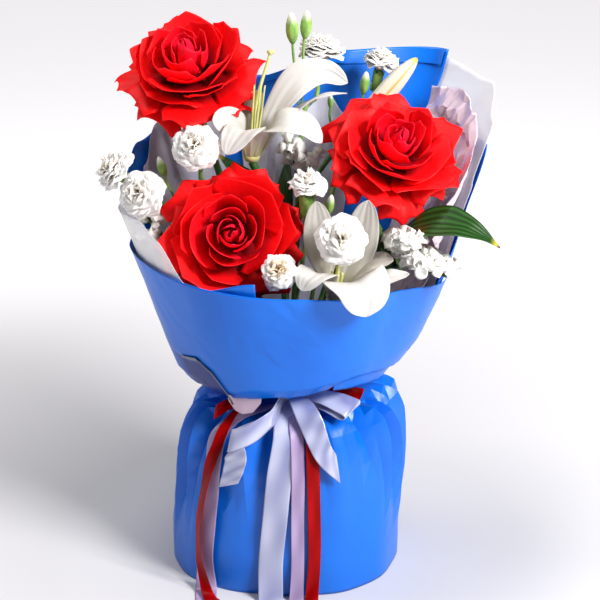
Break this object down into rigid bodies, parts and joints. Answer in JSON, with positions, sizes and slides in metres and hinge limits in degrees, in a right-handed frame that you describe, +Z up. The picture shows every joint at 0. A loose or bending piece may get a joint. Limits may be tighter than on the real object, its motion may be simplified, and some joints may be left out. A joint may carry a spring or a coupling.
{
  "type": "mixed flower bouquet",
  "caption": "Hand-tied bouquet of red roses, white lilies, carnations and statice, wrapped in blue film, tied with satin ribbons and standing on its cut stems.",
  "frame": {"origin": "centre of the middle stem's level cut end, in the plane that the bouquet stands on", "axes": "+Z up along the middle stem, +X to the bouquet's right as seen from its front, -Y towards the front, where the ribbon tails hang"},
  "size_m": [0.3326, 0.2562, 0.476],
  "materials": {
    "film_blue": "matt blue wrapping film, slightly glossy, creased",
    "film_white": "translucent white wrapping film",
    "film_pearl": "crumpled pearl film with a pink and lilac sheen",
    "film_lilac": "translucent lilac white film",
    "satin_white": "white satin ribbon",
    "satin_red": "red satin ribbon",
    "rose_petal": "velvety red petals, darker at the heart",
    "rose_green": "green stem and sepals",
    "lily_petal": "white ribbed tepals, yellow green at the base",
    "lily_green": "dark green stem and leaves with parallel veins",
    "lily_heart": "yellow green pistil and filaments",
    "bud_cream": "cream white lily bud with yellow green seams",
    "carnation_petal": "frilled white petals",
    "carnation_green": "light green calyces, buds and stems",
    "statice_white": "papery white cups on green winged twigs",
    "twine": "natural twine"
  },
  "bodies": {
    "root": {"binding_tie": "twine", "carnation_back": "carnation_petal", "carnation_centre": "carnation_petal", "carnation_far_left": "carnation_petal", "carnation_front": "carnation_petal", "carnation_left": "carnation_petal", "carnation_low": "carnation_petal", "carnation_mid": "carnation_petal", "carnation_top": "carnation_petal", "film_lilac_back": "film_lilac", "film_lilac_left": "film_lilac", "film_pearl_right": "film_pearl", "film_white_back": "film_white", "film_white_left": "film_white", "lily_bud": "bud_cream", "lily_high_petals": "lily_petal", "lily_high_stamens": "lily_heart", "lily_high_stem": "lily_green", "lily_low_petals": "lily_petal", "lily_low_stamens": "lily_heart", "lily_low_stem": "lily_green", "ribbon_red": "satin_red", "ribbon_white": "satin_white", "rose_front_bloom": "rose_petal", "rose_front_stem": "rose_green", "rose_left_bloom": "rose_petal", "rose_left_stem": "rose_green", "rose_right_bloom": "rose_petal", "rose_right_stem": "rose_green", "spray_back": "carnation_green", "spray_centre": "carnation_green", "spray_front": "carnation_green", "spray_left": "carnation_green", "spray_low": "carnation_green", "spray_mid": "carnation_green", "spray_top": "carnation_green", "statice_centre": "statice_white", "statice_left": "statice_white", "statice_right": "statice_white", "wrap_back": "film_blue", "wrap_corner": "film_blue", "wrap_front": "film_blue", "wrap_right": "film_blue", "wrap_skirt": "film_blue"}
  },
  "joints": []
}
